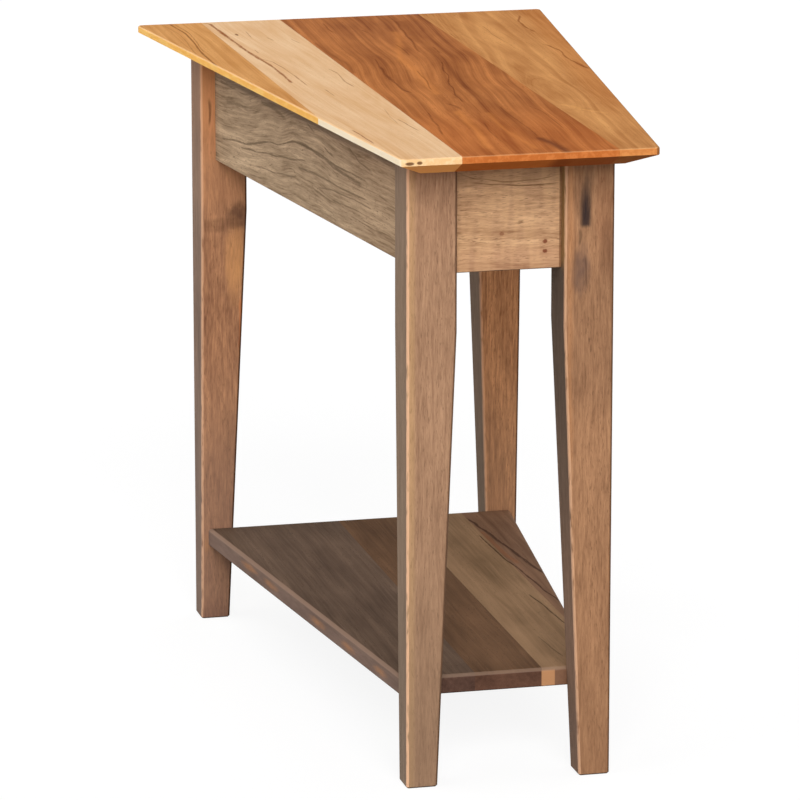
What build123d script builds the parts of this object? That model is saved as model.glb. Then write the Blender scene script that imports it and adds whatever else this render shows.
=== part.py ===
from build123d import *
from math import atan2, cos, degrees
import os

os.makedirs("parts", exist_ok=True)

# A wedge-shaped end table: narrow end to the front (-Y), wide end to the back (+Y).
# Millimetres, +Z up, origin on the floor under the centre of the top's outline.

# ---- top ----
HEIGHT = 609.6
TOP_DEPTH = 750.0
TOP_FRONT_WIDTH = 240.0
TOP_BACK_WIDTH = 426.0
TOP_THICKNESS = 19.0
TOP_BAND = 6.6
TOP_BEVEL_WIDTH = 28.0
TOP_CORNER_RADIUS = 5.0
TOP_ARRIS = 1.6
TOP_JOINTS = (-146.5, -64.0, 82.0)

# ---- legs ----
BASE_DEPTH = 630.0
BASE_FRONT_WIDTH = 196.0
BASE_BACK_WIDTH = 336.0
FRONT_OVERHANG = 68.0
LEG_SIDE = 47.6
FOOT_SIDE = 30.0
TAPER_HEIGHT = 433.0
LEG_ARRIS = 3.2
FOOT_ARRIS = 1.5

# ---- aprons ----
APRON_HEIGHT = 105.0
APRON_THICKNESS = 19.0
APRON_ARRIS = 1.2
END_APRON_SETBACK = 11.5
SIDE_APRON_SETBACK = 15.3
TENON_LENGTH = 20.0
TENON_THICKNESS = 9.5
TENON_SHOULDER = 12.0
GLUE_GAP = 1.0

# ---- shelf ----
SHELF_TOP = 97.5
SHELF_THICKNESS = 18.0
SHELF_FRONT_INSET = 3.8
SHELF_BACK_INSET = 7.4
SHELF_UPPER_ARRIS = 4.0
SHELF_LOWER_ARRIS = 1.2
SHELF_JOINTS = (-24.0, 41.0, 107.0)
DOWEL_DIAMETER = 10.0
DOWEL_LENGTH = 40.0
DOWEL_IN_LEG = 18.0

# ---- wooden buttons that hold the top down ----
BUTTON_WIDTH = 32.0
BUTTON_REACH = 28.0
BUTTON_THICKNESS = 17.0
TONGUE_LENGTH = 7.0
TONGUE_THICKNESS = 5.6
TONGUE_DROP = 10.0
BUTTON_SLOT_WIDTH = 40.0
BUTTON_SLOT_DEPTH = 8.0
BUTTON_CLEARANCE = 0.5
BUTTON_ARRIS = 1.0
SIDE_BUTTON_Y = (-205.0, 180.0)
SCREW_LENGTH = 30.0
SCREW_RADIUS = 2.0
SCREW_HEAD_RADIUS = 4.0
SCREW_CROWN_RADIUS = 3.2
SCREW_HEAD_HEIGHT = 2.4
SCREW_INSET = 15.0

# ---- worked out ----
TOP_FRONT_Y = -TOP_DEPTH / 2
TOP_BACK_Y = TOP_DEPTH / 2
TOP_UNDERSIDE = HEIGHT - TOP_THICKNESS
BASE_FRONT_Y = TOP_FRONT_Y + FRONT_OVERHANG
BASE_BACK_Y = BASE_FRONT_Y + BASE_DEPTH
APRON_BOTTOM = TOP_UNDERSIDE - APRON_HEIGHT
SHELF_BOTTOM = SHELF_TOP - SHELF_THICKNESS
SHELF_LEG_SIDE = FOOT_SIDE + (LEG_SIDE - FOOT_SIDE) * SHELF_BOTTOM / TAPER_HEIGHT
TENON_LOW = APRON_BOTTOM + TENON_SHOULDER
TENON_HIGH = TOP_UNDERSIDE - TENON_SHOULDER
FRONT_APRON_Y = BASE_FRONT_Y + END_APRON_SETBACK + APRON_THICKNESS / 2
BACK_APRON_Y = BASE_BACK_Y - END_APRON_SETBACK - APRON_THICKNESS / 2
FRONT_HALF = BASE_FRONT_WIDTH / 2 - LEG_SIDE
BACK_HALF = BASE_BACK_WIDTH / 2 - LEG_SIDE

# Centre line of the right-hand side apron, between the faces of its two legs.
SIDE_FRONT_Y = BASE_FRONT_Y + LEG_SIDE
SIDE_BACK_Y = BASE_BACK_Y - LEG_SIDE
SIDE_RUN = SIDE_BACK_Y - SIDE_FRONT_Y
SIDE_SPREAD = (BASE_BACK_WIDTH - BASE_FRONT_WIDTH) / 2
SIDE_ANGLE = atan2(SIDE_SPREAD, SIDE_RUN)
SIDE_HALF_X = APRON_THICKNESS / 2 / cos(SIDE_ANGLE)


def side_centre_x(y):
    """Distance of the side apron's centre line from the table's middle plane."""
    outer = BASE_FRONT_WIDTH / 2 - SIDE_APRON_SETBACK + (y - SIDE_FRONT_Y) * SIDE_SPREAD / SIDE_RUN
    return outer - SIDE_HALF_X


def wedge(front_width, back_width, y_front, y_back):
    """Plan of a panel that widens towards the back."""
    return Polygon(
        (-front_width / 2, y_front),
        (front_width / 2, y_front),
        (back_width / 2, y_back),
        (-back_width / 2, y_back),
        align=None,
    )


def split_into_boards(panel, joints):
    """Saw a panel into boards along its glue joints, which run from front to back."""
    box = panel.bounding_box()
    walls = [box.min.X - 1, *joints, box.max.X + 1]
    boards = []
    for left, right in zip(walls, walls[1:]):
        slab = Pos((left + right) / 2, 0, box.center().Z) * Box(right - left, 2 * TOP_DEPTH, HEIGHT)
        boards.append((panel & slab).solid())
    return boards


def top_panel():
    """The whole top: upright band, wide bevel under it, rounded corners, eased upper arris."""
    plan = wedge(TOP_FRONT_WIDTH, TOP_BACK_WIDTH, TOP_FRONT_Y, TOP_BACK_Y)
    inner = offset(plan, -TOP_BEVEL_WIDTH, kind=Kind.INTERSECTION)
    bevel_top = HEIGHT - TOP_BAND
    bevel = loft([Pos(0, 0, TOP_UNDERSIDE) * inner, Pos(0, 0, bevel_top) * plan], ruled=True)
    band = Pos(0, 0, bevel_top) * extrude(plan, TOP_BAND)
    rounded = fillet(plan.vertices(), TOP_CORNER_RADIUS)
    panel = (bevel + band) & Pos(0, 0, TOP_UNDERSIDE) * extrude(rounded, TOP_THICKNESS)
    return fillet(panel.faces().sort_by(Axis.Z)[-1].outer_wire().edges(), TOP_ARRIS)


def leg_blank():
    """A leg with its outer corner on the Z axis: square post, two inner faces tapered."""
    profile = Polygon((0, 0), (FOOT_SIDE, 0), (LEG_SIDE, TAPER_HEIGHT), (0, TAPER_HEIGHT), align=None)
    taper = extrude(Plane.XZ * profile, -LEG_SIDE) & extrude(Plane.YZ * profile, LEG_SIDE)
    taper = fillet(taper.edges().sort_by(Edge.length)[-4:], LEG_ARRIS)
    taper = chamfer(taper.faces().sort_by(Axis.Z)[0].outer_wire().edges(), FOOT_ARRIS)
    shoulder = taper.faces().sort_by(Axis.Z)[-1]
    return taper + extrude(shoulder, TOP_UNDERSIDE - TAPER_HEIGHT)


def placed_legs():
    """Four legs, each turned so that its tapered faces look inwards."""
    blank = leg_blank()
    across = mirror(blank, about=Plane.YZ)
    legs = {}
    for end, half, y in (
        ("front", BASE_FRONT_WIDTH / 2, BASE_FRONT_Y),
        ("back", BASE_BACK_WIDTH / 2, BASE_BACK_Y),
    ):
        for side, x, shape in (("left", -half, blank), ("right", half, across)):
            turned = shape if end == "front" else mirror(shape, about=Plane.XZ)
            legs[f"leg_{end}_{side}"] = Pos(x, y, 0) * turned
    return legs


def end_rail(half_length, y_middle, thickness, z_low, z_high):
    """A straight bar along X, centred on the table."""
    return Pos(0, y_middle, (z_low + z_high) / 2) * Box(2 * half_length, thickness, z_high - z_low)


def side_rail(y_front, y_back, thickness, z_low, z_high):
    """A bar along the right-hand slant, with its ends parallel to X."""
    half = thickness / 2 / cos(SIDE_ANGLE)
    x_front = side_centre_x(y_front)
    x_back = side_centre_x(y_back)
    plan = Polygon(
        (x_front - half, y_front),
        (x_front + half, y_front),
        (x_back + half, y_back),
        (x_back - half, y_back),
        align=None,
    )
    return Pos(0, 0, z_low) * extrude(plan, z_high - z_low)


def ease_lower_edges(rail):
    """Round the two long lower edges of an apron."""
    bottom = rail.faces().sort_by(Axis.Z)[0]
    long_edges = bottom.edges().sort_by(Edge.length)[-2:]
    return fillet(long_edges, APRON_ARRIS)


def end_apron(half_length, y_middle):
    """Front or back apron with a tenon at each end."""
    board = end_rail(half_length, y_middle, APRON_THICKNESS, APRON_BOTTOM, TOP_UNDERSIDE)
    tenon = end_rail(half_length + TENON_LENGTH, y_middle, TENON_THICKNESS, TENON_LOW, TENON_HIGH)
    return ease_lower_edges(board) + tenon


def side_apron():
    """Right-hand side apron: shoulders square to the legs, tenons in line with the slant."""
    board = side_rail(SIDE_FRONT_Y, SIDE_BACK_Y, APRON_THICKNESS, APRON_BOTTOM, TOP_UNDERSIDE)
    tenon = side_rail(
        SIDE_FRONT_Y - TENON_LENGTH, SIDE_BACK_Y + TENON_LENGTH, TENON_THICKNESS, TENON_LOW, TENON_HIGH
    )
    return ease_lower_edges(board) + tenon


def button_places():
    """Where each button sits: a point on an apron's inner face, turned so +Y looks inwards."""
    places = {
        "button_front": Location((0, FRONT_APRON_Y + APRON_THICKNESS / 2, TOP_UNDERSIDE)),
        "button_back": Location((0, BACK_APRON_Y - APRON_THICKNESS / 2, TOP_UNDERSIDE), (0, 0, 180)),
    }
    slant = degrees(SIDE_ANGLE)
    for name, y in zip(("front", "back"), SIDE_BUTTON_Y):
        x = side_centre_x(y) - SIDE_HALF_X
        places[f"button_left_{name}"] = Location((-x, y, TOP_UNDERSIDE), (0, 0, slant - 90))
        places[f"button_right_{name}"] = Location((x, y, TOP_UNDERSIDE), (0, 0, 90 - slant))
    return places


def button_slot():
    """Short mortise in the apron that takes a button's tongue."""
    size = Box(BUTTON_SLOT_WIDTH, BUTTON_SLOT_DEPTH, TONGUE_THICKNESS)
    return Pos(0, -BUTTON_SLOT_DEPTH / 2, -TONGUE_DROP - TONGUE_THICKNESS / 2) * size


def button():
    """Block with a tongue, and a hole for its screw."""
    reach = BUTTON_REACH - BUTTON_CLEARANCE
    block = Pos(0, BUTTON_CLEARANCE + reach / 2, -BUTTON_THICKNESS / 2) * Box(
        BUTTON_WIDTH, reach, BUTTON_THICKNESS
    )
    length = TONGUE_LENGTH + BUTTON_CLEARANCE
    tongue = Pos(0, BUTTON_CLEARANCE - length / 2, -TONGUE_DROP - TONGUE_THICKNESS / 2) * Box(
        BUTTON_WIDTH, length, TONGUE_THICKNESS
    )
    block = chamfer(block.edges().group_by(Axis.Z)[0], BUTTON_ARRIS)
    return block + tongue - button_screw()


def button_screw():
    """Pan-head wood screw, driven up through the button into the top, its head under the button."""
    outline = Polyline(
        (0, -SCREW_HEAD_HEIGHT),
        (SCREW_CROWN_RADIUS, -SCREW_HEAD_HEIGHT),
        (SCREW_HEAD_RADIUS, 0),
        (SCREW_RADIUS, 0),
        (SCREW_RADIUS, SCREW_LENGTH),
        (0, SCREW_LENGTH),
        close=True,
    )
    body = revolve(Plane.XZ * make_face(outline), Axis.Z)
    return Pos(0, SCREW_INSET, -BUTTON_THICKNESS) * body


def shelf_panel():
    """The whole shelf, before it is fitted between the legs."""
    y_front = BASE_FRONT_Y + SHELF_LEG_SIDE
    y_back = BASE_BACK_Y - SHELF_LEG_SIDE
    front_width = BASE_FRONT_WIDTH - 2 * SHELF_FRONT_INSET
    back_width = BASE_BACK_WIDTH - 2 * SHELF_BACK_INSET
    plan = wedge(front_width, back_width, y_front, y_back)
    panel = Pos(0, 0, SHELF_BOTTOM) * extrude(plan, SHELF_THICKNESS)
    panel = fillet(panel.edges().group_by(Axis.Z)[-1], SHELF_UPPER_ARRIS)
    return fillet(panel.edges().group_by(Axis.Z)[0], SHELF_LOWER_ARRIS)


def shelf_dowels():
    """One dowel between each leg and the shelf, in the middle of the faces that meet."""
    dowels = []
    middle = DOWEL_LENGTH / 2 - DOWEL_IN_LEG
    front_contact = (BASE_FRONT_WIDTH - SHELF_FRONT_INSET - SHELF_LEG_SIDE) / 2
    back_contact = (BASE_BACK_WIDTH - SHELF_BACK_INSET - SHELF_LEG_SIDE) / 2
    z = (SHELF_BOTTOM + SHELF_TOP) / 2
    for x, y in (
        (front_contact, BASE_FRONT_Y + SHELF_LEG_SIDE + middle),
        (back_contact, BASE_BACK_Y - SHELF_LEG_SIDE - middle),
    ):
        for side in (-1, 1):
            dowels.append(Pos(side * x, y, z) * Rot(90, 0, 0) * Cylinder(DOWEL_DIAMETER / 2, DOWEL_LENGTH))
    return dowels


# ---- assembly ----
legs = placed_legs()
right_apron = side_apron()
aprons = {
    "apron_front": end_apron(FRONT_HALF, FRONT_APRON_Y),
    "apron_back": end_apron(BACK_HALF, BACK_APRON_Y),
    "apron_left": mirror(right_apron, about=Plane.YZ),
    "apron_right": right_apron,
}

# Mortises run a little deeper than the tenons, to leave room for glue.
side_mortises = side_rail(
    SIDE_FRONT_Y - TENON_LENGTH - GLUE_GAP, SIDE_BACK_Y + TENON_LENGTH + GLUE_GAP,
    TENON_THICKNESS, TENON_LOW, TENON_HIGH,
)
mortises = [side_mortises, mirror(side_mortises, about=Plane.YZ)]
for half, y_middle in ((FRONT_HALF, FRONT_APRON_Y), (BACK_HALF, BACK_APRON_Y)):
    reach = half + TENON_LENGTH + GLUE_GAP
    mortises.append(end_rail(reach, y_middle, TENON_THICKNESS, TENON_LOW, TENON_HIGH))

shelf = shelf_panel()
for leg in legs.values():
    shelf -= leg
dowels = shelf_dowels()
for tool in mortises + dowels:
    legs = {name: leg - tool for name, leg in legs.items()}
for dowel in dowels:
    shelf -= dowel

top = top_panel()
buttons = {}
screws = []
for name, place in button_places().items():
    buttons[name] = place * button()
    screws.append(place * button_screw())
    slot = place * button_slot()
    aprons = {key: apron - slot for key, apron in aprons.items()}
for screw in screws:
    top -= screw

pieces = {**legs, **aprons, **buttons}
for number, board in enumerate(split_into_boards(top, TOP_JOINTS), start=1):
    pieces[f"top_board_{number}"] = board
for number, board in enumerate(split_into_boards(shelf, SHELF_JOINTS), start=1):
    pieces[f"shelf_board_{number}"] = board
pieces["shelf_dowels"] = Compound(children=dowels)
pieces["button_screws"] = Compound(children=screws)

for name, shape in pieces.items():
    export_step(shape, f"parts/{name}.step")
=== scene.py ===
# %% [markdown]
# # A wedge-shaped hickory end table
# The table is narrow in front and wide at the back, so that it fits between two chairs. Its joinery comes
# from the CAD model: a bevelled top glued up from four boards, four legs with tapered inner faces, four
# aprons and a lower shelf. Here every piece of wood gets its finish, and the table gets its floor, light
# and camera.

from math import cos, pi, radians, sin

import bpy
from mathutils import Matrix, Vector


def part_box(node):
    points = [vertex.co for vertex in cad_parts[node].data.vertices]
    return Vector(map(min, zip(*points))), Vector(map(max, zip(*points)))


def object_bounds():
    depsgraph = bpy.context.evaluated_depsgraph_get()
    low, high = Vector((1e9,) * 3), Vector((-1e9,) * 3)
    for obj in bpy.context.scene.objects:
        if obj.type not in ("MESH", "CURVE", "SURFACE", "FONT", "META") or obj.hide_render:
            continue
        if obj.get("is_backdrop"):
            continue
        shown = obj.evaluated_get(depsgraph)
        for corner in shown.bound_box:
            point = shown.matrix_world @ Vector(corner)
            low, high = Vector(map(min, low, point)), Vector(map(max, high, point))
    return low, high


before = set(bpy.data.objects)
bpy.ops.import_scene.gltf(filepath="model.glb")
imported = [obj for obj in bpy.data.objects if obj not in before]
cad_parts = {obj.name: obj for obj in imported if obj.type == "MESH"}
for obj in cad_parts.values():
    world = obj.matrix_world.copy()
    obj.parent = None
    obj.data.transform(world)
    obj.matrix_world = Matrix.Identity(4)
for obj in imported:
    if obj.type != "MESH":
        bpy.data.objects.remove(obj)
cad_low, cad_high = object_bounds()
MM = 0.001
print("pieces:", len(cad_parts), "size in mm:", [round(side / MM) for side in cad_high - cad_low])

# %% [markdown]
# ## Shader maths as Python
# A shader is a net of nodes. It could be drawn by hand in the shader editor, but the finishes of this table
# need long sums, which are hard to read as nodes. So a `Wire` stands for one output of a node, and adding
# or multiplying wires adds the Math node that does it. A mask can then be written as `1 - mask`.

# %% A wire that can be used in sums
class Wire:
    """One output of a node. Sums of wires and numbers add Math nodes to the same finish."""

    def __init__(self, finish, socket):
        self.finish = finish
        self.socket = socket

    def output(self, name):
        """Another output of the same node."""
        return Wire(self.finish, self.socket.node.outputs[name])

    def maths(self, operation, *values):
        """A Math node on these values, in the same finish."""
        return self.finish.node("ShaderNodeMath", {"operation": operation}, dict(enumerate(values)))

    def __add__(self, other):
        return self.maths("ADD", self, other)

    def __radd__(self, other):
        return self.maths("ADD", other, self)

    def __sub__(self, other):
        return self.maths("SUBTRACT", self, other)

    def __rsub__(self, other):
        return self.maths("SUBTRACT", other, self)

    def __mul__(self, other):
        return self.maths("MULTIPLY", self, other)

    def __rmul__(self, other):
        return self.maths("MULTIPLY", other, self)

    def __truediv__(self, other):
        return self.maths("DIVIDE", self, other)

    def __rtruediv__(self, other):
        return self.maths("DIVIDE", other, self)

    def __abs__(self):
        return self.maths("ABSOLUTE", self)


def larger(first, second):
    """The larger of two wires."""
    return first.maths("MAXIMUM", first, second)


SUMS = ("add", "sub", "mul", "truediv")
both_ways = all(hasattr(Wire, f"__{side}{name}__") for name in SUMS for side in ("", "r"))
print("sums work both ways round, as in 1 - mask:", both_ways)

# %% [markdown]
# ## A finish
# A `Finish` is one material. It keeps the colour and the surface height while they are being built up, in
# the order in which a finisher works: the bare wood first, then its marks, then the stain or the oil on
# top. Colours and vectors go through Mix and Vector Math nodes, because a Math node would turn a colour
# grey.

# %% The finish class
RELIEF = 0.25 * MM


class Finish:
    """A net of nodes under construction, with the colour and the height of the surface so far."""

    def __init__(self, owner):
        self.owner = owner
        owner.use_nodes = True
        self.tree = owner.node_tree
        self.tree.nodes.clear()
        self.colour = None
        self.height = None

    def node(self, kind, settings=None, inputs=None):
        made = self.tree.nodes.new(kind)
        for name, value in (settings or {}).items():
            setattr(made, name, value)
        for name, value in (inputs or {}).items():
            if isinstance(value, Wire):
                self.tree.links.new(value.socket, made.inputs[name])
            else:
                made.inputs[name].default_value = value
        return Wire(self, made.outputs[0]) if made.outputs else None

    def vector(self, operation, *values):
        return self.node("ShaderNodeVectorMath", {"operation": operation}, dict(enumerate(values)))

    def mix(self, factor, first, second):
        made = self.node("ShaderNodeMix", {"data_type": "RGBA"}, {0: factor, 6: first, 7: second})
        return made.output(2)

    def tint(self, mask, colour):
        """Lay a colour over what is there, where the mask is 1."""
        self.colour = self.mix(mask, self.colour, colour)

    def close(self, roughness, specular, metallic=0.0):
        """Join colour, gloss and height to the surface, and return the material."""
        relief = {"Distance": RELIEF, "Strength": 1.0, "Height": self.height}
        normal = self.node("ShaderNodeBump", None, relief)
        surface = self.node("ShaderNodeBsdfPrincipled", None, {
            "Base Color": self.colour,
            "Roughness": roughness,
            "Metallic": metallic,
            "Specular IOR Level": specular,
            "Normal": normal,
        })
        self.node("ShaderNodeOutputMaterial", None, {"Surface": surface})
        print(self.owner.name, "has", len(self.tree.nodes), "nodes")
        return self.owner


def new_finish(name):
    """Start a finish on a new material."""
    return Finish(bpy.data.materials.new(name))


print("a finish can", ", ".join(name for name in vars(Finish) if not name.startswith("_")))

# %% Colours and soft steps
def paint(red, green, blue):
    """A colour given as it looks on a screen, 0 to 255, turned into the linear values that shaders use."""
    shares = [c / 255 for c in (red, green, blue)]
    linear = [((c + 0.055) / 1.055) ** 2.4 if c > 0.04045 else c / 12.92 for c in shares]
    return (*linear, 1.0)


def smooth(value, low, high):
    """0 at low, 1 at high, with soft ends. Low may be the larger one."""
    settings = {"interpolation_type": "SMOOTHSTEP"}
    inputs = {"Value": value, "From Min": low, "From Max": high}
    return value.finish.node("ShaderNodeMapRange", settings, inputs)


print("middle grey on a screen is", round(paint(128, 128, 128)[0], 3), "in a shader")

# %% [markdown]
# ## Where the grain runs
# In real wood the grain of a face runs on over the edge and shows as end grain on the ends. A picture of
# wood would need unwrapped faces and would break at every edge, so all patterns here are solid and fill the
# board. Each board measures its own place: across the grain, along it and through the board. Noise that is
# stretched along the grain gives streaks. Near a branch the grain bends, so the space in which the streaks
# are drawn is bent a little, and it swells up round a knot.

# %% Grain coordinates
UP = Vector((0, 0, 1))
RIGHT = Vector((1, 0, 0))
BACK = Vector((0, 1, 0))
WANDER = 2.4 * MM


def set_grain(finish, origin, along, across):
    """Give the finish its own axes: across the grain, along it and through the board, in metres."""
    place = finish.node("ShaderNodeTexCoord").output("Object")
    finish.level = finish.node("ShaderNodeSeparateXYZ", None, {0: place}).output("Z")
    finish.normal = finish.node("ShaderNodeNewGeometry").output("Normal")
    offset = finish.vector("SUBTRACT", place, origin)
    axes = (across, along, along.cross(across))
    finish.across, finish.along, finish.through = [
        finish.vector("DOT_PRODUCT", offset, axis).output("Value") for axis in axes
    ]
    finish.facing = [abs(facing(finish, axis)) for axis in axes]
    inputs = {"X": finish.across, "Y": finish.along, "Z": finish.through}
    finish.space = finish.node("ShaderNodeCombineXYZ", None, inputs)
    finish.wander = (noise(finish, 60, 50, 2.0) - 0.5) * WANDER
    finish.grit = smooth(noise(finish, 1.5, 12, 5.0), 0.25, 0.5)


def facing(finish, direction):
    """1 where the surface looks in that direction, -1 where it looks the other way."""
    return finish.vector("DOT_PRODUCT", finish.normal, direction).output("Value")


print("grain runs along", tuple(BACK), "in the boards and along", tuple(UP), "in the legs")

# %% Noise, and grain that bends
def noise(finish, width, length, seed, detail=2.0, roughness=0.6):
    """Noise with patches of about that width across the grain and that length along it, in millimetres."""
    stretch = (1 / (width * MM), 1 / (length * MM), 1 / (width * MM))
    place = finish.vector("MULTIPLY_ADD", finish.space, stretch, (seed, seed, seed))
    inputs = {"Vector": place, "Scale": 1.0, "Detail": detail, "Roughness": roughness}
    return finish.node("ShaderNodeTexNoise", None, inputs)


def bend_grain(finish, reach, width, length, seed):
    """Push the grain sideways by up to about that reach, as near a branch. All in millimetres."""
    push = noise(finish, width, length, seed, detail=1.0).output("Color")
    centred = finish.vector("SUBTRACT", push, (0.5, 0.5, 0.5))
    finish.space = finish.vector("MULTIPLY_ADD", centred, (4 * reach * MM, 0, 2 * reach * MM), finish.space)


def path(finish, points):
    """How far across the board a line runs through points given from front to back or from foot to head."""
    middle = points[0][0] * MM
    for (x_from, y_from), (x_to, y_to) in zip(points, points[1:]):
        middle = middle + smooth(finish.along, y_from * MM, y_to * MM) * ((x_to - x_from) * MM)
    return middle


def lean_grain(finish, points, share=1.0):
    """Let the grain follow a path across the board."""
    sideways = finish.node("ShaderNodeCombineXYZ", None, {"X": path(finish, points) * share})
    finish.space = finish.vector("SUBTRACT", finish.space, sideways)


def swell(finish, centre, size, rise):
    """Lift the grain round a point, so that the rings close round it. All in millimetres."""
    x = (finish.across - centre[0] * MM) / (size[0] * MM)
    y = (finish.along - centre[1] * MM) / (size[1] * MM)
    hill = smooth(x * x + y * y, 1.0, 0.0) * (rise * MM)
    lift = finish.node("ShaderNodeCombineXYZ", None, {"Z": hill})
    finish.space = finish.vector("ADD", finish.space, lift)


print("grain helpers:", ", ".join(helper.__name__ for helper in (noise, bend_grain, path, lean_grain, swell)))

# %% [markdown]
# ## The wood itself
# Hickory is a ring-porous wood. Each year adds a ring round the heart of the tree, and no two rings are
# alike. A board cuts through these rings, so a tilted heart gives arches on the face and lines on the edge.
# A Wave texture would make the rings too even. Noise that depends only on the distance from the heart
# makes uneven ones. Long bands of colour, cloudy patches, fine fibres and short dark pores lie over them.

# %% Rings, bands, fibres and pores
PATCH_SIZE = (28, 120)
PORE_SIZE = (0.8, 7)


def rings(finish, heart, tilt, spacing, seed):
    """Uneven growth rings round a heart beside or below the board, heart and spacing in millimetres."""
    parts = finish.node("ShaderNodeSeparateXYZ", None, {0: finish.space})
    x = parts.output("X") - parts.output("Y") * tilt[0] - heart[0] * MM
    z = parts.output("Z") - parts.output("Y") * tilt[1] - heart[1] * MM
    radius = x.maths("SQRT", x * x + z * z)
    inputs = {"W": radius / (spacing * MM) + seed, "Scale": 1.0, "Detail": 3.0, "Roughness": 0.6}
    return finish.node("ShaderNodeTexNoise", {"noise_dimensions": "1D"}, inputs)


def grow_wood(finish, light, dark, seed, heart=(20, -70), tilt=(0.01, 0.04), spacing=9, ring=1.0,
              band=0.7, band_size=(5, 220), patch=0.7, fibre=0.5, fibre_size=(0.9, 22), pore=0.3):
    """Bare wood. The shares say how far each pattern moves the colour between dark and light."""

    def pattern(size, shift, detail):
        return noise(finish, *size, seed + shift, detail)

    year = rings(finish, heart, tilt, spacing, seed)
    bands = pattern(band_size, 3.1, 3.0)
    patches = pattern(PATCH_SIZE, 7.7, 2.0)
    fibres = pattern(fibre_size, 11.3, 3.0)
    shares = ((ring, year), (band, bands), (patch, patches), (fibre, fibres))
    finish.tone = sum((share * (layer - 0.5) for share, layer in shares), 0.5)
    finish.colour = finish.mix(finish.tone, dark, light)
    pores = smooth(pattern(PORE_SIZE, 17.9, 1.0), 0.6, 0.74) * smooth(year, 0.3, 0.6)
    finish.tint(pores * pore, [0.45 * c for c in dark[:3]] + [1.0])
    finish.height = fibres * 0.6 + year * 0.4 - pores * 0.7


print("width of a pattern in mm: patches", PATCH_SIZE[0], "and pores", PORE_SIZE[0])

# %% [markdown]
# ## Marks that make it rustic
# Rustic hickory keeps its mineral streaks, pin knots and dark flecks. Noise alone would strew them evenly,
# but the eye remembers a few strong ones. So they are placed one by one, in millimetres across and along the
# board. A vein follows the grain through a few points and wanders a little. A spot is a soft oval, longer
# along the grain.

# %% Veins and zones
LONGEST_FADE = 10 * MM


def vein(finish, points, half_width, soft=0.2):
    """Mask of a line along the grain, half_width in millimetres."""
    thick = noise(finish, 10, 25, 0.3 * points[0][0]) * (2 * half_width * MM)
    distance = abs(finish.across - path(finish, points) - finish.wander)
    start, end = points[0][1] * MM, points[-1][1] * MM
    fade = min(LONGEST_FADE, 0.3 * (end - start))
    line = smooth(distance / thick, 1.0, soft)
    return line * smooth(finish.along, start, start + fade) * smooth(finish.along, end, end - fade)


def draw_veins(finish, veins, colour):
    """Tint a board along several broken veins, each given as half width, strength and points."""
    for half_width, strength, points in veins:
        finish.tint(strength * vein(finish, points, half_width) * (0.35 + 0.65 * finish.grit), colour)


def draw_zones(finish, zones, colour):
    """Tint broad soft zones along the grain, given in the same way."""
    for half_width, strength, points in zones:
        finish.tint(strength * vein(finish, points, half_width, soft=-0.4), colour)


print("veins fade out over at most", round(LONGEST_FADE / MM), "mm")

# %% Spots, rounded edges and grained colours
def spot(finish, centre, size, soft=0.2, ragged=1.0, across=None):
    """Mask of a soft oval, size being its half width and half length."""
    x = ((across or finish.across) - centre[0] * MM) / (size[0] * MM)
    y = (finish.along - centre[1] * MM) / (size[1] * MM)
    rough = noise(finish, 0.5 * size[0], 0.5 * size[1], 0.7 * centre[0] + 0.31 * centre[1])
    return smooth(x * x + y * y + (rough - 0.5) * ragged, 1.0, soft)


def draw_spots(finish, spots):
    """Tint soft ovals, each given as strength, centre, size, softness and colour."""
    for strength, centre, size, soft, colour in spots:
        finish.tint(strength * spot(finish, centre, size, soft), colour)


def arris(finish):
    """Mask of the rounded edges, which face between two axes of the board."""
    flat = larger(larger(finish.facing[0], finish.facing[1]), finish.facing[2])
    return smooth(flat, 0.99, 0.93)


def grained(finish, colour, spread=0.3):
    """The same colour, darker and lighter with the grain."""
    dark = [c * (1 - spread) for c in colour[:3]] + [1.0]
    light = [c * (1 + spread) for c in colour[:3]] + [1.0]
    return finish.mix(finish.tone, dark, light)


def dress(node, material):
    """Give a piece of the table its only material."""
    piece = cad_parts[node]
    piece.data.materials.clear()
    piece.data.materials.append(material)


print("pieces to dress:", len(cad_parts))

# %% [markdown]
# ## The top
# Four boards of very different colour are glued side by side under a clear, almost matt finish: honey and
# cream sapwood on the left, red-brown heartwood in the middle and golden wood on the right. The upright
# band round the top is warmer than the flat face and is painted brighter as a highlight, and the bevel under
# it is painted darker as shade. Band and bevel could be cut out as faces with materials of their own. Masks
# made from the direction in which the surface looks give them soft borders and leave the CAD mesh as it is.

# %% How a top board is finished
TOP_HEIGHT = cad_high.z
TOP_ORIGIN = Vector((0, 0, TOP_HEIGHT))
BROWN_VEIN = paint(122, 66, 30)
RIM_HIGHLIGHT = paint(255, 214, 160)
RIM_SHADE = paint(96, 58, 34)


def top_board(number, bend):
    """Start the finish of a top board, measured from the middle of the top's upper face."""
    finish = new_finish(f"clear_hickory_{number}")
    set_grain(finish, TOP_ORIGIN, BACK, RIGHT)
    bend_grain(finish, *bend, seed=number)
    return finish


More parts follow.
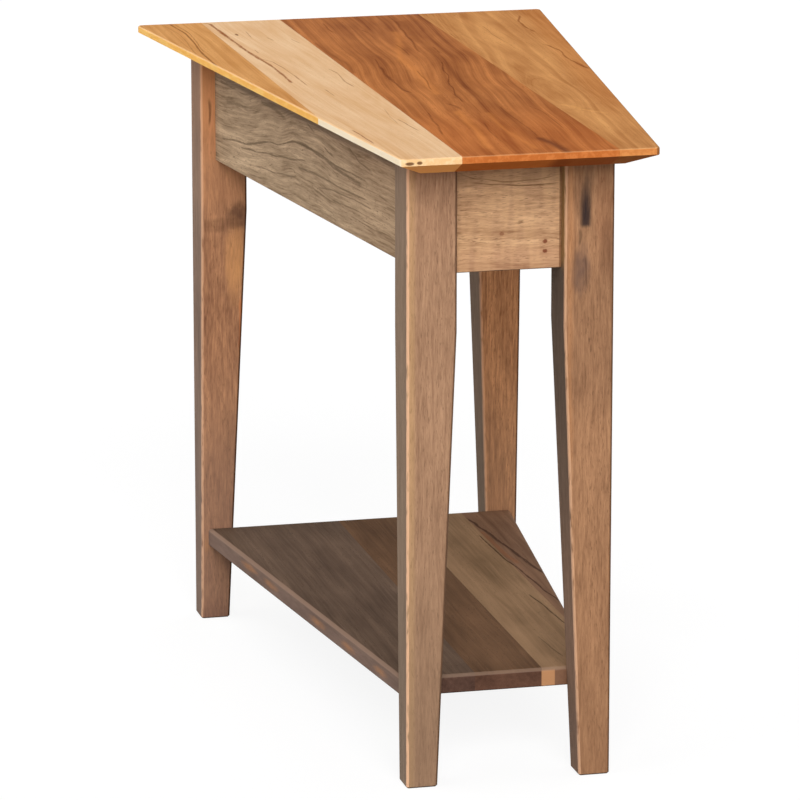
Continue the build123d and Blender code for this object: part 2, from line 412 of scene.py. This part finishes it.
def warm_edges_with_painted_light(finish, side_band, front_band, bevel, patch_tone):
    """Warm the upright band and paint a highlight on it and its upper arris, paint shade on the bevel under
    it, and shade the edges on the right and at the back.
    """
    up, right, back = [facing(finish, direction) for direction in (UP, RIGHT, BACK)]
    upright = smooth(finish.facing[2], 0.75, 0.3)
    # The band's tint is partly its own warmer tone and partly a painted highlight.
    finish.tint(0.85 * upright, finish.mix(smooth(abs(back), 0.4, 0.8), side_band, front_band))
    patches = smooth(noise(finish, 6, 30, 4.0, detail=3.0), 0.42, 0.62)
    finish.tint(0.4 * patches * upright, patch_tone)
    # Painted highlight along the upper arris, stronger where it faces left.
    rim_highlight = arris(finish) * smooth(up, 0.2, 0.5)
    finish.tint(rim_highlight * (0.15 + 0.4 * smooth(right, -0.2, -0.5)), RIM_HIGHLIGHT)
    # Painted shade on the bevel, which faces down.
    finish.tint(0.8 * smooth(up, -0.3, -0.6), bevel)
    # Painted shade on the arrises that face right and back.
    finish.tint(0.6 * smooth(larger(right, back), 0.15, 0.4), RIM_SHADE)


def close_top(finish, number):
    """A clear finish that is almost matt."""
    dress(f"top_board_{number}", finish.close(roughness=0.7, specular=0.01))


print("the top is at", round(TOP_HEIGHT / MM, 1), "mm")

# %% [markdown]
# ### Honey and cream boards
# The honey board is a slim wedge on the left side, with three long streaks. The cream board beside it is
# the palest, so its mineral streaks stand out most. Its grain leans with the side of the table. Two pin
# knots show in its front edge. They are placed across and through the board, because a spot on the upper
# face would not reach them.

# %% Honey board
honey = top_board(1, bend=(3, 40, 200))
grow_wood(honey, paint(237, 178, 114), paint(186, 124, 64), 20.0, ring=0.8, fibre_size=(1.5, 120))
HONEY_VEINS = (
    (1.5, 0.75, ((-182, 120), (-182, 174), (-175, 306), (-179, 376))),
    (0.8, 0.5, ((-178, 200), (-171, 310), (-174, 372))),
    (0.7, 0.4, ((-188, 190), (-182, 300), (-186, 370))),
)
draw_veins(honey, HONEY_VEINS, BROWN_VEIN)
warm_edges_with_painted_light(honey, paint(252, 190, 98), paint(226, 150, 80), paint(200, 126, 62), paint(255, 216, 134))
close_top(honey, 1)

# %% Cream board
cream = top_board(2, bend=(1.5, 40, 200))
lean_grain(cream, ((-90, -375), (-105, 0), (-118, 375)))
grow_wood(cream, paint(246, 211, 170), paint(216, 164, 112), 40.0, ring=0.8, spacing=6, band=0.6,
          band_size=(4, 400), fibre=0.7, fibre_size=(1.5, 120), pore=0.2)
CREAM_VEINS = (
    (2.2, 0.85, ((-131, 14), (-130, 92), (-136, 209), (-138, 297), (-139, 361), (-144, 374))),
    (3.2, 0.8, ((-138, 282), (-138, 297), (-138, 316))),
    (1.0, 0.6, ((-120, -2), (-120, 46), (-121, 91), (-124, 130), (-132, 156), (-138, 233))),
    (1.2, 0.8, ((-126, -299), (-128, -259), (-130, -226))),
    (1.1, 0.6, ((-72, -250), (-75, -212), (-77, -184))),
    (0.7, 0.4, ((-82, -212), (-81, -180), (-77, -128))),
    (1.1, 0.55, ((-78, -20), (-80, 9), (-77, 58), (-80, 88))),
    (1.0, 0.55, ((-107, -62), (-108, -20))),
    (0.9, 0.55, ((-97, 250), (-100, 274))),
    (0.9, 0.5, ((-115, 272), (-113, 315))),
    (0.9, 0.55, ((-127, 183), (-127, 208))),
    (0.9, 0.5, ((-75, 227), (-78, 261))),
)
cream.wander = cream.wander * 0.4
draw_veins(cream, CREAM_VEINS, paint(150, 84, 40))
cream.tint(0.85 * spot(cream, (-126, 295), (2, 7)), BROWN_VEIN)
warm_edges_with_painted_light(cream, paint(255, 240, 212), paint(246, 200, 142), paint(255, 164, 76), paint(255, 232, 190))
FRONT_KNOTS = ((-112, 4.4, 4.5, 1.7), (-103, 4.0, 2.8, 1.7))
front_face = smooth(facing(cream, BACK), -0.7, -0.9)
for x, depth, half_width, half_height in FRONT_KNOTS:
    sideways = (cream.across - x * MM) / (half_width * MM)
    down = (cream.through - depth * MM) / (half_height * MM)
    pin_knot = smooth(sideways * sideways + down * down, 1.2, 0.4)
    cream.tint(0.85 * pin_knot * front_face, paint(92, 50, 24))
close_top(cream, 2)

# %% [markdown]
# ### Red-brown and golden boards
# Both come from the heartwood, so rings show on their faces. In the red-brown board the heart of the tree
# lies close under the face and rises a little to the back, so the rings draw arches that open to the back.
# In the golden board they close round a swelling of the grain. Rings could be drawn as lines, but here they
# follow from the heart and the swelling, so face and edges agree.

# %% Red-brown board
red = top_board(3, bend=(1.5, 50, 200))
lean_grain(red, ((-20, -375), (-10, -200), (0, -60), (22, 150), (34, 375)))
swell(red, (-8, -140), (20, 70), -3)
grow_wood(red, paint(213, 137, 78), paint(120, 62, 30), 60.0, heart=(-4, -30), tilt=(0.0, 0.03), spacing=7,
          ring=0.8, band=0.9, band_size=(7, 420), patch=0.9, fibre=0.6, fibre_size=(1.5, 160))
red.tint(0.12 * smooth(red.along, 0.05, 0.30), paint(132, 84, 66))
red.tint(0.25 * smooth(red.along, -0.10, -0.30), paint(190, 96, 38))
draw_zones(red, (
    (12, 0.5, ((35, -370), (24, -292), (28, -167), (26, -61), (38, 102), (44, 187), (54, 340))),
    (4, 0.45, ((-61, 50), (-56, 103), (-58, 137), (-60, 172), (-60, 235))),
), paint(112, 56, 26))
draw_zones(red, ((8, 0.8, ((34, -390), (31, -345), (26, -300))),), paint(92, 46, 30))
draw_zones(red, (
    (9, 0.35, ((-9, -79), (1, 100), (32, 279))),
    (7, 0.45, ((-30, -350), (-19, -232), (-14, -156))),
    (5, 0.35, ((10, -360), (6, -260), (12, -170))),
), paint(232, 148, 76))
RED_VEINS = (
    (2.4, 0.6, ((-32, -64), (-36, -45), (-35, -8), (-34, 30), (-28, 87))),
    (1.4, 0.5, ((-31, 63), (-23, 131))),
    (1.2, 0.65, ((3, -121), (5, -88), (13, -36), (26, 37), (36, 99))),
    (2.6, 0.5, ((-8, -160), (-9, -137), (-14, -118))),
    (1.3, 0.5, ((15, 134), (17, 176), (16, 208))),
    (1.8, 0.5, ((29, 150), (38, 236), (43, 282), (48, 336), (49, 375))),
    (1.1, 0.45, ((-10, -54), (-2, 11), (1, 57))),
    (1.4, 0.5, ((-55, -275), (-48, -214), (-42, -157))),
    (1.6, 0.55, ((-28, 280), (-29, 296), (-26, 344))),
    (1.4, 0.5, ((5, 272), (3, 295))),
    (1.0, 0.45, ((27, -300), (29, -254), (29, -218), (29, -182), (31, -145))),
    (0.9, 0.45, ((-12, -319), (-10, -274), (-4, -218))),
    (1.0, 0.4, ((60, -268), (61, -236), (63, -186), (58, -146))),
    (1.2, 0.5, ((47, 138), (49, 182))),
)
red.wander = red.wander * 0.6
draw_veins(red, RED_VEINS, paint(104, 50, 22))
red_bevel = red.mix(smooth(red.across, 16 * MM, 28 * MM), paint(192, 102, 42), paint(148, 74, 32))
warm_edges_with_painted_light(red, paint(226, 140, 64), paint(196, 108, 50), red_bevel, paint(226, 140, 78))
close_top(red, 3)

# %% Golden board
gold = top_board(4, bend=(2, 50, 200))
swell(gold, (104, -100), (30, 110), -8)
grow_wood(gold, paint(224, 163, 101), paint(163, 102, 54), 80.0, heart=(102, -34), tilt=(0.1, -0.02),
          spacing=4, ring=0.8, band=0.4, band_size=(5, 420), patch=1.1, fibre=0.4, fibre_size=(1.5, 160))
# Half the top's width grows from 120 to 213 mm over its depth of 750 mm.
SIDE_SLOPE = (213 - 120) / 750
right_side = smooth(gold.across - gold.along * SIDE_SLOPE, 132 * MM, 156 * MM)
gold.tint(0.35 * right_side * smooth(gold.along, -0.30, -0.05), paint(180, 104, 46))
GOLD_VEINS = (
    (2.0, 0.65, ((170, 236), (169, 275), (171, 299), (181, 342))),
    (1.4, 0.65, ((165, 28), (163, 54), (162, 88), (166, 127), (163, 157), (158, 172))),
    (2.6, 0.6, ((166, 22), (165, 46), (163, 76))),
    (0.9, 0.4, ((128, 181), (126, 196), (126, 237), (128, 287))),
    (0.9, 0.35, ((84, 217), (85, 255))),
)
draw_veins(gold, GOLD_VEINS, paint(128, 62, 24))
draw_zones(gold, ((6, 0.35, ((119, -210), (101, -175), (88, -145))),), paint(236, 176, 104))
warm_edges_with_painted_light(gold, paint(214, 132, 60), paint(211, 130, 68), paint(150, 80, 30), paint(236, 162, 92))
close_top(gold, 4)

# %% [markdown]
# ## Legs and aprons
# The base is stained a weathered grey-brown. Stain sinks into the pores and the soft early wood, and it is
# rubbed thin on the arrises, which stay pale. On the arrises that face left the pale colour is also a painted
# highlight, and the arrises on the right and below are painted dark as shade. The grain runs up the legs and
# along the aprons. One material for the whole base would be simpler, but each leg and apron is a piece of
# another board, so each gets its own seed, tone and marks.

# %% How a stained piece is finished
GREY_STAIN = paint(112, 98, 82)
RIGHT_STAIN = paint(142, 112, 88)
WORN_ARRIS_AND_HIGHLIGHT = paint(232, 182, 146)
RIGHT_ARRIS_SHADE = paint(62, 36, 22)
LOWER_ARRIS_SHADE = paint(70, 54, 46)
LEG_WOOD = {
    "tilt": (0.02, 0.03), "spacing": 7, "ring": 0.5, "band": 0.8, "band_size": (3, 45),
    "fibre": 1.1, "fibre_size": (1.5, 14), "pore": 0.5,
}


def stain_and_shade_sides(finish, colour=GREY_STAIN, share=0.45):
    """Another tone on the faces that look to the left and to the right, which on the right legs' inner faces
    is painted shade.
    """
    sideways = facing(finish, RIGHT)
    finish.tint(share * smooth(sideways, -0.6, -0.9), grained(finish, colour))
    finish.tint(share * smooth(sideways, 0.6, 0.9), grained(finish, RIGHT_STAIN, 0.45))


def close_stained(finish, node, wear_and_highlight=0.9, shade=0.0):
    """Pale arrises on the left, worn and painted as a highlight, painted shade on the arrises on the right
    and below, and almost no gloss.
    """
    sideways = facing(finish, RIGHT)
    corners = arris(finish)
    rubbed = smooth(noise(finish, 4, 20, 3.3), 0.25, 0.5)
    # Pale worn arrises on the left, partly a painted highlight.
    finish.tint(wear_and_highlight * rubbed * corners * smooth(sideways, 0.0, -0.3), WORN_ARRIS_AND_HIGHLIGHT)
    # Painted shade on the arrises that face right.
    finish.tint(shade * corners * smooth(sideways, 0.0, 0.3), RIGHT_ARRIS_SHADE)
    # Painted shade on the arrises that face down.
    finish.tint(0.7 * corners * smooth(facing(finish, UP), -0.1, -0.4), LOWER_ARRIS_SHADE)
    dress(node, finish.close(roughness=0.65, specular=0.03))


def stained_leg(node, light, dark, seed, **growth):
    """Stained wood for a leg, measured from the leg's own middle and from the floor up."""
    low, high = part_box(node)
    finish = new_finish(f"stain_{node}")
    set_grain(finish, Vector(((low.x + high.x) / 2, (low.y + high.y) / 2, 0)), UP, RIGHT)
    bend_grain(finish, 1.5, 30, 120, seed)
    grow_wood(finish, light, dark, seed, **{**LEG_WOOD, **growth})
    return finish


print("pale arris:", [round(c, 2) for c in WORN_ARRIS_AND_HIGHLIGHT[:3]])

# %% [markdown]
# ### Front legs
# The left one is plain and greyer towards the foot, where it is also painted darker as shade. The right one
# has a long dark knot near its head, with stain clouds round it and two thin dark lines under it. Its inner
# face is painted grey in the middle as shade, lighter towards the foot and tan beside the apron. One drawn
# image could hold all of this, but separate soft marks, laid one over another as glazes are, stay easy to
# move.

# %% Front left leg
front_left = stained_leg("leg_front_left", paint(193, 151, 118), paint(133, 98, 75), 5.0)
front_left.tint(0.35 * smooth(front_left.across, -14 * MM, -19 * MM), paint(206, 164, 112))
# Darker and greyer towards the foot: partly the wood's tone, partly painted shade.
front_left.tint(0.5 * smooth(front_left.along, 0.38, 0.02), paint(126, 103, 83))
stain_and_shade_sides(front_left, paint(121, 107, 95), 0.75)
close_stained(front_left, "leg_front_left", wear_and_highlight=0.75, shade=0.6)

# %% Front right leg
front_right = stained_leg("leg_front_right", paint(193, 144, 106), paint(123, 86, 61), 15.0)
front_right.tint(0.45 * vein(front_right, ((-18, 300), (-18, 600)), 6, soft=-0.6), paint(208, 142, 90))
draw_spots(front_right, (
    (0.35, (14, 540), (12, 60), -0.6, paint(124, 74, 48)),
    (0.55, (-1, 574), (6, 22), -0.6, paint(98, 76, 62)),
    (0.4, (-4, 545), (12, 50), -0.8, paint(92, 74, 56)),
))
knot = spot(front_right, (-4, 536), (7, 44), soft=-0.1, ragged=0.6)
knot_foot = smooth(front_right.along, 523 * MM, 528 * MM)
front_right.tint(0.95 * knot * knot_foot, paint(46, 38, 40))
draw_spots(front_right, (
    (0.85, (-8, 486), (12, 32), -0.4, paint(104, 80, 70)),
    (0.7, (17, 504), (12, 36), -0.4, paint(116, 80, 58)),
))
front_right.tint(0.6 * vein(front_right, ((-10, 506), (-9, 516), (-10, 526)), 2.0), paint(86, 62, 46))
front_right.tint(0.6 * vein(front_right, ((-2, 464), (-3, 480), (-4, 502)), 1.2), paint(92, 66, 52))
# Darker towards the foot: partly the wood's tone, partly painted shade.
front_right.tint(0.4 * smooth(front_right.along, 0.30, 0.0), paint(128, 92, 66))
front_right.tint(0.15 * smooth(abs(front_right.along - 0.42), 0.09, 0.04), paint(96, 72, 58))
# Painted shade on the inner face, which looks left towards the other leg.
stain_and_shade_sides(front_right, paint(92, 79, 68), 0.9)
inner_face = smooth(facing(front_right, RIGHT), -0.6, -0.9)
# The painted shade is lighter towards the foot.
low_inside = inner_face * smooth(front_right.along, 0.38, 0.14)
front_right.tint(0.85 * low_inside, grained(front_right, paint(138, 110, 92)))
front_right.tint(0.85 * inner_face * smooth(front_right.along, 0.48, 0.50), paint(156, 124, 80))
close_stained(front_right, "leg_front_right", wear_and_highlight=0.5, shade=0.6)

# %% [markdown]
# ### Back legs
# They are redder than the front ones. The left one has a dark knot where its taper begins, a head painted
# pale as light where the top's shadow falls, and a warm spot near the foot. The right one is plain, with long
# narrow bands. Both use the same function as the front legs, with colours and marks of their own.

# %% Back legs
back_left = stained_leg("leg_back_left", paint(208, 151, 109), paint(121, 81, 61), 25.0, patch=0.9)
# Painted light on the head, where the top's shadow falls.
back_left.tint(0.7 * smooth(back_left.along, 0.46, 0.56), paint(236, 166, 112))
draw_spots(back_left, ((0.8, (11, 378), (13, 56), -0.6, paint(228, 164, 104)),))
back_left.tint(0.3 * smooth(abs(back_left.along - 0.47), 0.04, 0.02), paint(220, 158, 112))
draw_spots(back_left, (
    (0.75, (15, 428), (16, 19), -0.3, paint(84, 58, 46)),
    (0.5, (-2, 418), (28, 10), -0.3, paint(98, 68, 52)),
))
back_left.tint(0.5 * vein(back_left, ((17, 285), (17, 310), (18, 345)), 3.0), paint(214, 124, 72))
back_left.tint(0.6 * vein(back_left, ((-15, 518), (-14, 535), (-15, 552)), 2.0), paint(96, 58, 40))
draw_spots(back_left, (
    (0.4, (6, 190), (14, 60), -0.6, paint(112, 76, 54)),
    (0.5, (-18, 80), (5, 14), -0.6, paint(220, 150, 84)),
))
# Darker and greyer towards the foot and darkest at the very foot: partly the wood's tone, partly painted
# shade.
back_left.tint(0.5 * smooth(back_left.along, 0.34, 0.10), paint(126, 102, 89))
back_left.tint(0.35 * smooth(back_left.along, 0.03, 0.0), paint(96, 66, 60))
stain_and_shade_sides(back_left, paint(118, 104, 94), 0.75)
close_stained(back_left, "leg_back_left", wear_and_highlight=0.5, shade=0.8)

back_right = stained_leg("leg_back_right", paint(217, 153, 104), paint(121, 77, 51), 35.0,
                         band=1.0, band_size=(2.5, 70))
back_right.tint(0.35 * smooth(back_right.along, 0.34, 0.10), paint(150, 123, 99))
# Painted shade on the left face, which looks towards the other legs.
stain_and_shade_sides(back_right, paint(104, 90, 77), 0.9)
close_stained(back_right, "leg_back_right", wear_and_highlight=0.35, shade=0.8)

# %% [markdown]
# ### Aprons
# The front and back aprons are warm in the middle and browner along both edges, with saw marks across the
# grain, a few pin knots and a dark line against the legs, which is painted shade in the joint. The side
# aprons are greyer and keep the wavy lines of a board cut near a branch. They stand at an angle. The world's
# axes would cut their pattern at a slant, so their axis along the grain is worked out from the legs that
# carry them.

# %% Front and back aprons
APRON_LINES = (
    (1.1, 0.65, ((31, -38), (28, -8), (26, 12), (27, 48))),
    (0.8, 0.5, ((38, -46), (34, -27), (30, 2), (31, 22), (34, 46))),
)
APRON_KNOTS = ((0.85, (-27, 35)), (0.85, (-36, 35)), (0.5, (-18, -6)))
for end, seed in (("front", 45.0), ("back", 55.0)):
    low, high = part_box(f"apron_{end}")
    apron = new_finish(f"stain_apron_{end}")
    set_grain(apron, (low + high) / 2, RIGHT, UP)
    bend_grain(apron, 1.2, 20, 50, seed)
    grow_wood(apron, paint(229, 184, 141), paint(142, 102, 72), seed, heart=(60, -90), tilt=(0.05, 0.1),
              spacing=8, band_size=(3, 40), fibre=1.0, fibre_size=(1.3, 10), pore=0.7)
    apron.tint(0.4 * smooth(apron.across, 24 * MM, 32 * MM), paint(158, 124, 92))
    apron.tint(0.35 * smooth(apron.across, -26 * MM, -38 * MM), paint(170, 122, 94))
    saw_marks = noise(apron, 80, 12, seed + 2.0, detail=1.0)
    apron.tint(0.15 * smooth(saw_marks, 0.42, 0.6), paint(250, 202, 148))
    draw_veins(apron, APRON_LINES, paint(96, 62, 38))
    for strength, centre in APRON_KNOTS:
        draw_spots(apron, (
            (0.3 * strength, centre, (6, 7), -0.4, paint(140, 84, 54)),
            (strength, centre, (2.3, 2.8), 0.2, paint(112, 52, 34)),
        ))
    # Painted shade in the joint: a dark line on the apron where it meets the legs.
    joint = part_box(f"leg_{end}_right")[0].x
    apron.tint(0.7 * smooth(abs(apron.along), joint - 2.5 * MM, joint - 1.5 * MM), paint(104, 62, 30))
    stain_and_shade_sides(apron)
    close_stained(apron, f"apron_{end}")

# %% Side aprons
SIDE_LINES = (
    (1.6, 0.8, ((6, -159), (6, -78), (10, -23), (9, 33), (-3, 91), (-20, 194), (-26, 254))),
    (2.6, 0.75, ((0, -146), (3, -73), (8, -37), (10, 0), (10, 35))),
    (1.3, 0.7, ((-5, 5), (-12, 62), (-16, 105), (-22, 155), (-25, 197))),
    (1.8, 0.7, ((13, -72), (15, -59), (19, -38))),
    (1.8, 0.7, ((18, -172), (21, -138), (26, -122), (31, -105))),
    (1.2, 0.65, ((-26, 33), (-29, 62), (-33, 105), (-36, 155))),
    (1.5, 0.7, ((-12, -159), (-13, -127), (-13, -78), (-12, -23), (-15, 33))),
    (1.2, 0.65, ((-18, -172), (-18, -119), (-19, -78), (-23, -23))),
    (1.0, 0.55, ((-27, -190), (-27, -119), (-29, -60))),
    (1.0, 0.55, ((-36, -200), (-35, -110))),
    (1.0, 0.55, ((-4, -228), (-1, -180), (-2, -120))),
    (2.0, 0.65, ((31, 205), (31, 259))),
    (3.0, 0.55, ((18, 171), (16, 200), (13, 241))),
    (3.0, 0.6, ((27, 60), (31, 99), (31, 136))),
    (2.2, 0.6, ((28, -19), (33, 7))),
    (1.2, 0.55, ((-8, -232), (-8, -204))),
)
front_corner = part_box("leg_front_right")[1]
back_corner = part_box("leg_back_right")[1]
leg_side = front_corner.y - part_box("leg_front_right")[0].y
run = back_corner.y - front_corner.y - leg_side
slant = Vector((back_corner.x - front_corner.x, run, 0)).normalized()
SHADE_ABOVE, SHADE_FROM = TOP_HEIGHT - 36 * MM, TOP_HEIGHT - 43 * MM
for node, side, seed in (("apron_left", -1, 65.0), ("apron_right", 1, 75.0)):
    low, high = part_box(node)
    apron = new_finish(f"stain_{node}")
    set_grain(apron, (low + high) / 2, Vector((side * slant.x, slant.y, 0)), UP)
    bend_grain(apron, 2, 30, 100, seed)
    lean_grain(apron, SIDE_LINES[0][2], 0.3 + 0.7 * smooth(apron.across, -50 * MM, 10 * MM))
    grow_wood(apron, paint(226, 195, 160), paint(112, 88, 65), seed, heart=(-20, -160), tilt=(0.0, 0.02),
              spacing=5, ring=0.9, band=1.2, band_size=(2.8, 70), patch=0.5, fibre=0.9,
              fibre_size=(1.6, 20), pore=0.7)
    draw_veins(apron, SIDE_LINES, paint(86, 68, 52))
    apron.tint(0.12 * smooth(apron.along, -0.05, -0.20), paint(150, 100, 60))
    # Painted shadow of the top along the apron's upper edge.
    apron.tint(0.65 * smooth(apron.level, SHADE_FROM, SHADE_ABOVE), paint(66, 50, 50))
    stain_and_shade_sides(apron, paint(146, 122, 95), 0.3)
    close_stained(apron, node)
print("the side aprons slant by", round(slant.x / slant.y, 3), "to 1")

# %% [markdown]
# ## The shelf
# The shelf takes the same stain but looks much darker. Its third board is paler, and its fourth has red and
# black streaks. Its upper arrises are pale, partly rubbed and partly a painted highlight, its lower arrises
# are painted dark as shade, and its front edge shows one tan patch where the stain missed. The edges could
# be boards of their own, but they are the same wood, so they are tinted by masks that ask where the surface
# looks.

# %% What the shelf boards look like
SHELF_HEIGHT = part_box("shelf_board_1")[1].z
SHELF_LOOKS = (
    (1, paint(121, 99, 82), paint(65, 50, 41), 85.0),
    (2, paint(126, 94, 69), paint(67, 48, 34), 95.0),
    (3, paint(166, 132, 100), paint(100, 77, 54), 105.0),
    (4, paint(149, 113, 88), paint(86, 62, 47), 115.0),
)
JOINT_LINE = (1.6, 0.75, ((118, -60), (113, -6), (110, 54), (105, 109), (103, 200)))
SHELF_LINES = {
    3: (
        JOINT_LINE,
        (1.2, 0.75, ((102, -145), (99, -76), (95, -24))),
        (1.0, 0.6, ((70, -245), (67, -206), (65, -168))),
    ),
    4: (
        JOINT_LINE,
        (2.6, 0.75, ((129, 40), (124, 89), (121, 128), (116, 184), (111, 237), (104, 278))),
    ),
}
EDGE_STREAKS = ((8, 160, 34), (9, 96, 28), (10, -42, 30), (11, -127, 26), (10, -215, 24))


def shelf_board(number, light, dark, seed):
    """Dark stained wood, measured from the shelf's upper face."""
    finish = new_finish(f"dark_hickory_{number}")
    set_grain(finish, Vector((0, 0, SHELF_HEIGHT)), BACK, RIGHT)
    bend_grain(finish, 2, 30, 150, seed)
    grow_wood(finish, light, dark, seed, ring=0.5, band=0.6, band_size=(4, 300), patch=0.9, fibre=0.4,
              fibre_size=(1.5, 70), pore=0.4)
    if number == 3:
        finish.tint(0.35 * smooth(finish.across, 60 * MM, 50 * MM), paint(156, 124, 94))
    if number == 4:
        red_streak = vein(finish, ((114, 80), (111, 119), (110, 158), (109, 215)), 4)
        finish.tint(0.25 * red_streak, paint(150, 84, 44))
    draw_veins(finish, SHELF_LINES.get(number, ()), paint(40, 24, 16))
    return finish


print("the shelf is at", round(SHELF_HEIGHT / MM, 1), "mm and has", len(SHELF_LOOKS), "boards")

# %% Shelf boards and their edges
for number, light, dark, seed in SHELF_LOOKS:
    board = shelf_board(number, light, dark, seed)
    up, right, back = [facing(board, direction) for direction in (UP, RIGHT, BACK)]
    front_edge = smooth(back, -0.8, -0.95)
    left_edge = smooth(right, -0.8, -0.95)
    board.tint(0.6 * front_edge, grained(board, paint(85, 56, 49), 0.45))
    tan_patch = smooth(abs(board.across - 47 * MM), 7 * MM, 6 * MM)
    board.tint(0.85 * front_edge * tan_patch, paint(192, 140, 98))
    board.tint(0.5 * front_edge * smooth(board.across, 52 * MM, 55 * MM), paint(140, 100, 76))
    board.tint(0.85 * left_edge, grained(board, paint(126, 104, 93), 0.35))
    for depth, place, length in EDGE_STREAKS:
        streak = spot(board, (depth, place), (5, length), soft=-0.8, across=board.through)
        board.tint(0.6 * left_edge * streak, paint(196, 136, 86))
    corners = arris(board)
    # Pale upper arrises, partly worn and partly a painted highlight that is stronger where they face left.
    rim_highlight = corners * smooth(up, 0.0, 0.2) * smooth(right, 0.3, 0.1)
    board.tint(rim_highlight * (0.5 + 0.3 * smooth(right, -0.1, -0.4)), paint(146, 120, 103))
    # Painted shade on the arrises that face down.
    board.tint(0.7 * corners * smooth(up, -0.1, -0.4), paint(46, 32, 26))
    dress(f"shelf_board_{number}", board.close(roughness=0.6, specular=0.01))

# %% [markdown]
# ## Parts that stay out of sight
# The buttons, which hold the top down, and the shelf's dowels are bare wood. The screws are zinc-plated
# steel. They could share one grey material, because they are seen only from below. A plain wood and a plain
# zinc cost little and stay right when the table is taken apart.

# %% Buttons, dowels and screws
bare = new_finish("bare_hardwood")
set_grain(bare, Vector((0, 0, 0)), BACK, RIGHT)
grow_wood(bare, paint(226, 194, 154), paint(186, 150, 108), 125.0, band_size=(2, 30))
bare_wood = bare.close(roughness=0.7, specular=0.3)
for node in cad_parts:
    if node.startswith("button_") or node == "shelf_dowels":
        dress(node, bare_wood)

zinc = new_finish("zinc_plate")
set_grain(zinc, Vector((0, 0, 0)), BACK, RIGHT)
crystals = noise(zinc, 1.5, 1.5, 3.0, detail=4.0)
zinc.colour = zinc.mix(smooth(crystals, 0.3, 0.7), paint(176, 178, 180), paint(214, 214, 210))
zinc.height = crystals * 0.3
dress("button_screws", zinc.close(roughness=0.35, specular=0.5, metallic=1.0))

# %% [markdown]
# ## Floor
# A large pale floor runs to the horizon. More light would make it white too, but it would bleach the table.
# So the floor glows by itself for the eye, for reflections and through glass. A dim part of it still takes
# light, and with it the table's soft shadow.

# %% Floor
FLOOR_HALF = 40.0
FLOOR_GREY = 0.4
SHADOW_GREY = 0.16
FLOOR_GLOW = 0.87
mesh = bpy.data.meshes.new("floor")
square = [(x * FLOOR_HALF, y * FLOOR_HALF, 0) for x, y in ((-1, -1), (1, -1), (1, 1), (-1, 1))]
mesh.from_pydata(square, [], [(0, 1, 2, 3)])
floor = bpy.data.objects.new("floor", mesh)
bpy.context.scene.collection.objects.link(floor)
floor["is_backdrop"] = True


def background_rays(finish):
    """1 for the rays that see the background: from the eye, by reflection and through glass."""
    ray = finish.node("ShaderNodeLightPath")
    return ray.output("Is Camera Ray") + ray.output("Is Glossy Ray") + ray.output("Is Transmission Ray")


def grey(value):
    return (value, value, value, 1.0)


pale = new_finish("pale_floor")
matt = pale.node("ShaderNodeBsdfDiffuse", None, {"Color": grey(FLOOR_GREY)})
faint = pale.node("ShaderNodeBsdfDiffuse", None, {"Color": grey(SHADOW_GREY)})
glow = pale.node("ShaderNodeEmission", None, {"Color": grey(1.0), "Strength": FLOOR_GLOW})
white = pale.node("ShaderNodeAddShader", None, {0: faint, 1: glow})
blend = pale.node("ShaderNodeMixShader", None, {0: background_rays(pale), 1: matt, 2: white})
pale.node("ShaderNodeOutputMaterial", None, {"Surface": blend})
floor.data.materials.append(pale.owner)
print("floor:", round(2 * FLOOR_HALF), "m square")

# %% [markdown]
# ## Light
# The backdrop is white in the same way and dim as a light above the horizon, so that surfaces keep their
# colour. Three broad lamps do the lighting: one from the front, and a weaker one on each side. Suns light
# near and far alike, so the strengths stay simple.

# %% World and lamps
BACKDROP_LIGHT = 0.12
LAMP_DISTANCE = 3.0
world = bpy.data.worlds.new("studio")
bpy.context.scene.world = world
studio = Finish(world)
direction = studio.node("ShaderNodeTexCoord").output("Generated")
height = studio.node("ShaderNodeSeparateXYZ", None, {0: direction}).output("Z")
white_part = larger(smooth(height, 0.10, 0.03), background_rays(studio))
brightness = BACKDROP_LIGHT + (1 - BACKDROP_LIGHT) * white_part
backdrop = studio.node("ShaderNodeBackground", None, {"Strength": brightness})
studio.node("ShaderNodeOutputWorld", None, {"Surface": backdrop})


def soft_sun(name, towards, angle):
    """A broad lamp. Its direction's length is its strength, where 1 lights a colour as it is written."""
    data = bpy.data.lights.new(name, "SUN")
    data.energy = pi * towards.length
    data.angle = radians(angle)
    lamp = bpy.data.objects.new(name, data)
    lamp.rotation_euler = towards.to_track_quat("Z", "Y").to_euler()
    lamp.location = LAMP_DISTANCE * towards.normalized()
    bpy.context.scene.collection.objects.link(lamp)
    print(name, "lamp, strength", round(towards.length, 2))


soft_sun("key", Vector((-0.12, -0.80, 0.45)), angle=40)
soft_sun("fill_left", Vector((-0.55, 0.10, 0.20)), angle=80)
soft_sun("fill_right", Vector((0.30, 0.15, 0.18)), angle=80)

# %% [markdown]
# ## Camera
# The camera stands to the left of the narrow end and looks down a little. A short lens close by would show
# the same sides, but the legs would lean. A long lens from far away keeps them almost parallel.

# %% Camera
AIM = Vector((-0.0288, 0.0, 0.2949))
DISTANCE = 5.0819
AZIMUTH = 0.2412
TILT = 0.2412
LENS_MM = 234.76
camera_data = bpy.data.cameras.new("camera")
camera_data.lens = LENS_MM
camera = bpy.data.objects.new("camera", camera_data)
line_of_sight = Vector((sin(AZIMUTH) * cos(TILT), cos(AZIMUTH) * cos(TILT), -sin(TILT)))
camera.location = AIM - DISTANCE * line_of_sight
camera.rotation_euler = (pi / 2 - TILT, 0, -AZIMUTH)
bpy.context.scene.collection.objects.link(camera)
bpy.context.scene.camera = camera
bpy.context.scene.view_settings.view_transform = "Standard"
print("camera at", [round(c, 2) for c in camera.location])

# %% Sizes, and the end
low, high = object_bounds()
print("size kept:", (low - cad_low).length + (high - cad_high).length < MM)
